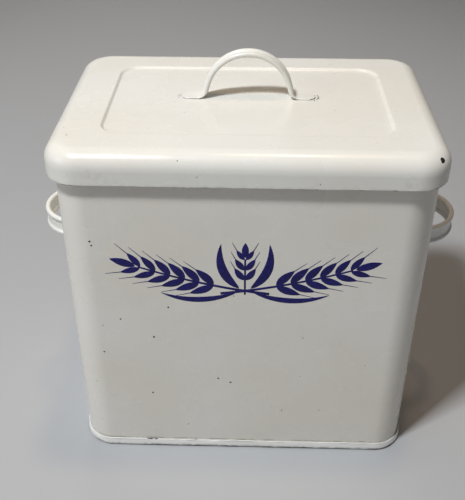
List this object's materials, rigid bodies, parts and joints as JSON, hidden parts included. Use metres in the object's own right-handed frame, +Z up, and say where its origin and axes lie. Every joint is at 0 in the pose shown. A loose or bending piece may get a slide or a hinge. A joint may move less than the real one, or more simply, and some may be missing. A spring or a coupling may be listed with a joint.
{
  "type": "enamelled bread bin",
  "caption": "Rectangular enamelled steel bread bin with a lift-off lid, a strap handle on the lid and one at each end.",
  "frame": {"origin": "centre of the footprint, on the surface that the bin stands on", "axes": "+X to the right along the long side, +Y to the back, +Z up; the front faces -Y"},
  "size_m": [0.407, 0.234, 0.3841],
  "materials": {
    "bin_enamel": "gloss vitreous enamel, ivory",
    "base_enamel": "gloss vitreous enamel, ivory, worn along the edge",
    "lid_enamel": "gloss vitreous enamel, ivory",
    "handle_enamel": "gloss vitreous enamel, white",
    "rim_steel": "bare drawn wire"
  },
  "bodies": {
    "bin": {"body_wall": "bin_enamel", "rim_wire": "rim_steel", "base_pan": "base_enamel", "side_handle_left": "handle_enamel", "side_handle_right": "handle_enamel"},
    "lid": {"lid_shell": "lid_enamel", "lid_handle": "handle_enamel"}
  },
  "joints": [
    {"name": "lid_lift", "type": "slide", "parent": "bin", "child": "lid", "axis": [0, 0, 1], "range_m": [0, 0.3]}
  ]
}
